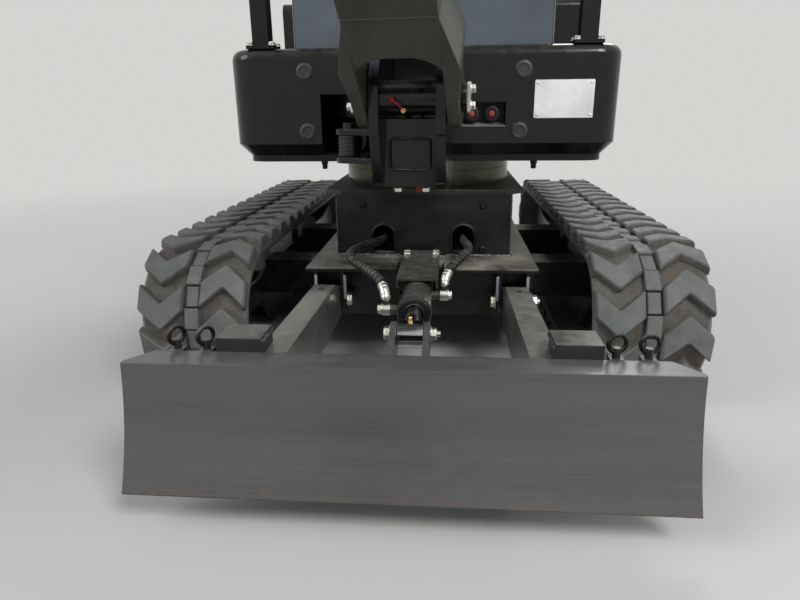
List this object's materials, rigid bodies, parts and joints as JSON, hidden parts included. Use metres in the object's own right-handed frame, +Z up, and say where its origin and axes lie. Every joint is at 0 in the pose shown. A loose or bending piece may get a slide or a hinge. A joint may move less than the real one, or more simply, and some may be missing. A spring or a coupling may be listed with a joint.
{
  "type": "mini excavator",
  "caption": "Mini excavator on rubber tracks with dozer blade, swing boom, arm and bucket, four-post canopy and slewing upper body.",
  "frame": {"origin": "on the floor, under the middle of the whole machine", "axes": "+X to the machine's left, boom along -Y, +Z up"},
  "size_m": [1.3, 3.7836, 2.29],
  "materials": {
    "frame_black": "satin black paint, dusty",
    "gloss_black": "gloss black paint",
    "cast_grey": "cast and oily",
    "track_rubber": "worn rubber with dry earth",
    "boom_olive": "dark olive-grey paint, satin",
    "chrome_rod": "polished",
    "hose_rubber": "satin rubber hose",
    "seat_vinyl": "grained vinyl",
    "dark_plastic": "grained plastic",
    "roof_plastic": "moulded canopy",
    "engine_metal": "cast engine block"
  },
  "bodies": {
    "root": {"centre_frame": "frame_black", "slew_ring_lower": "cast_grey"},
    "left_track_body": {"left_track": "track_rubber", "left_track_frame": "frame_black", "left_track_wheels": "cast_grey", "left_drive_sprocket": "cast_grey"},
    "right_track_body": {"right_track": "track_rubber", "right_track_frame": "frame_black", "right_track_wheels": "cast_grey", "right_drive_sprocket": "cast_grey"},
    "blade_body": {"blade": "gloss_black", "blade_arms": "frame_black", "blade_brackets": "frame_black"},
    "blade_barrel_body": {"blade_cylinder_barrel": "frame_black", "blade_cylinder_guard": "gloss_black", "blade_hose_left": "hose_rubber", "blade_hose_right": "hose_rubber"},
    "blade_rod_body": {"blade_cylinder_rod": "chrome_rod"},
    "upper_body": {"slew_ring_upper": "cast_grey", "deck_frame": "frame_black", "front_panel": "gloss_black", "coupling_recess": "gloss_black", "floor_plate": "dark_plastic", "left_skirt": "gloss_black", "right_skirt": "gloss_black", "engine_hood": "gloss_black", "counterweight": "frame_black", "engine_block": "engine_metal", "seat_cushion": "seat_vinyl", "seat_backrest": "seat_vinyl", "side_consoles": "dark_plastic", "travel_levers": "dark_plastic", "canopy_posts": "gloss_black", "canopy_roof": "roof_plastic", "front_shield": "gloss_black", "work_lamps": "dark_plastic"},
    "swing_post_body": {"swing_post": "boom_olive"},
    "swing_barrel_body": {"swing_cylinder_barrel": "frame_black"},
    "swing_rod_body": {"swing_cylinder_rod": "chrome_rod"},
    "boom_body": {"boom": "boom_olive"},
    "boom_barrel_body": {"boom_cylinder_barrel": "frame_black"},
    "boom_rod_body": {"boom_cylinder_rod": "chrome_rod"},
    "arm_body": {"arm": "boom_olive"},
    "arm_barrel_body": {"arm_cylinder_barrel": "frame_black"},
    "arm_rod_body": {"arm_cylinder_rod": "chrome_rod"},
    "rocker_body": {"bucket_rocker": "boom_olive"},
    "link_body": {"bucket_link": "boom_olive"},
    "bucket_body": {"bucket": "boom_olive"},
    "bucket_barrel_body": {"bucket_cylinder_barrel": "frame_black"},
    "bucket_rod_body": {"bucket_cylinder_rod": "chrome_rod"}
  },
  "joints": [
    {"name": "left_track_slide", "type": "slide", "parent": "root", "child": "left_track_body", "axis": [-1, 0, 0], "range_m": [0, 0.09]},
    {"name": "right_track_slide", "type": "slide", "parent": "root", "child": "right_track_body", "axis": [1, 0, 0], "range_m": [0, 0.09]},
    {"name": "blade_lift", "type": "hinge", "parent": "root", "child": "blade_body", "pos_m": [0, 0.57491, 0.195], "axis": [-1, 0, 0], "range_deg": [-25, 24]},
    {"name": "slew", "type": "hinge", "parent": "root", "child": "upper_body", "pos_m": [0, 1.01491, 0.5], "axis": [0, 0, 1], "continuous": true},
    {"name": "boom_swing", "type": "hinge", "parent": "upper_body", "child": "swing_post_body", "pos_m": [0, 0.43491, 0.615], "axis": [0, 0, 1], "range_deg": [-44, 66]},
    {"name": "boom_lift", "type": "hinge", "parent": "swing_post_body", "child": "boom_body", "pos_m": [-0.01045, 0.33546, 0.7], "axis": [-0.9945, 0.1045, 0], "range_deg": [-68, 40]},
    {"name": "arm_crowd", "type": "hinge", "parent": "boom_body", "child": "arm_body", "pos_m": [-0.18975, -1.37044, 1.39302], "axis": [0.9945, -0.1045, 0], "range_deg": [-63, 51]},
    {"name": "bucket_curl", "type": "hinge", "parent": "arm_body", "child": "bucket_body", "pos_m": [-0.22205, -1.67776, 0.44197], "axis": [0.9945, -0.1045, 0], "range_deg": [-85, 85]},
    {"name": "blade_cylinder_barrel_turn", "type": "hinge", "parent": "root", "child": "blade_barrel_body", "pos_m": [0, 0.65491, 0.265], "axis": [-1, 0, 0], "range_deg": [-21.63, 20.78]},
    {"name": "blade_cylinder_rod_slide", "type": "slide", "parent": "blade_barrel_body", "child": "blade_rod_body", "axis": [0, -1, 0.0059], "range_m": [-0.02982, 0.03102]},
    {"name": "swing_cylinder_barrel_turn", "type": "hinge", "parent": "upper_body", "child": "swing_barrel_body", "pos_m": [-0.21, 0.99491, 0.602], "axis": [0, 0, 1], "range_deg": [-1.54, 2.06]},
    {"name": "swing_cylinder_rod_slide", "type": "slide", "parent": "swing_barrel_body", "child": "swing_rod_body", "axis": [0.1054, -0.9944, 0], "range_m": [-0.10692, 0.15988]},
    {"name": "boom_cylinder_barrel_turn", "type": "hinge", "parent": "swing_post_body", "child": "boom_barrel_body", "pos_m": [-0.00052, 0.42994, 0.835], "axis": [-0.9945, 0.1045, 0], "range_deg": [-68.89, 40.73]},
    {"name": "boom_cylinder_rod_slide", "type": "slide", "parent": "boom_barrel_body", "child": "boom_rod_body", "axis": [-0.0663, -0.6304, 0.7735], "range_m": [-0.10208, 0.17284]},
    {"name": "arm_cylinder_barrel_turn", "type": "hinge", "parent": "boom_body", "child": "arm_barrel_body", "pos_m": [-0.09405, -0.45988, 1.52355], "axis": [0.9945, -0.1045, 0], "range_deg": [-1.51, 1.75]},
    {"name": "arm_cylinder_rod_slide", "type": "slide", "parent": "arm_barrel_body", "child": "arm_rod_body", "axis": [-0.104, -0.9899, 0.0963], "range_m": [-0.21996, 0.17825]},
    {"name": "rocker_turn", "type": "hinge", "parent": "arm_body", "child": "rocker_body", "pos_m": [-0.22108, -1.6685, 0.59035], "axis": [0.9945, -0.1045, 0], "range_deg": [-58.92, 58.92]},
    {"name": "link_turn", "type": "hinge", "parent": "bucket_body", "child": "link_body", "pos_m": [-0.2346, -1.79718, 0.40062], "axis": [0.9945, -0.1045, 0], "range_deg": [-62.29, 62.29]},
    {"name": "bucket_cylinder_barrel_turn", "type": "hinge", "parent": "arm_body", "child": "bucket_barrel_body", "pos_m": [-0.21015, -1.56456, 1.2777], "axis": [0.9945, -0.1045, 0], "range_deg": [-2.98, 2.98]},
    {"name": "bucket_cylinder_rod_slide", "type": "slide", "parent": "bucket_barrel_body", "child": "bucket_rod_body", "axis": [-0.042, -0.3992, -0.9159], "range_m": [-0.17326, 0.17326]}
  ],
  "couplings": [
    {"joint": "right_track_slide", "follows": "left_track_slide", "ratio": 1},
    {"joint": "blade_cylinder_barrel_turn", "follows": "blade_lift", "ratio": 0.84511},
    {"joint": "blade_cylinder_rod_slide", "follows": "blade_lift", "m_per_rad": -0.06881},
    {"joint": "swing_cylinder_barrel_turn", "follows": "boom_swing", "ratio": 0.023661},
    {"joint": "swing_cylinder_rod_slide", "follows": "boom_swing", "m_per_rad": 0.13793},
    {"joint": "boom_cylinder_barrel_turn", "follows": "boom_lift", "ratio": 1.0057},
    {"joint": "boom_cylinder_rod_slide", "follows": "boom_lift", "m_per_rad": -0.14479},
    {"joint": "arm_cylinder_barrel_turn", "follows": "arm_crowd", "ratio": -0.019812},
    {"joint": "arm_cylinder_rod_slide", "follows": "arm_crowd", "m_per_rad": 0.19913},
    {"joint": "rocker_turn", "follows": "bucket_curl", "ratio": 0.68732},
    {"joint": "link_turn", "follows": "bucket_curl", "ratio": -0.72699},
    {"joint": "bucket_cylinder_barrel_turn", "follows": "bucket_curl", "ratio": 0.029206},
    {"joint": "bucket_cylinder_rod_slide", "follows": "bucket_curl", "m_per_rad": 0.11611}
  ]
}
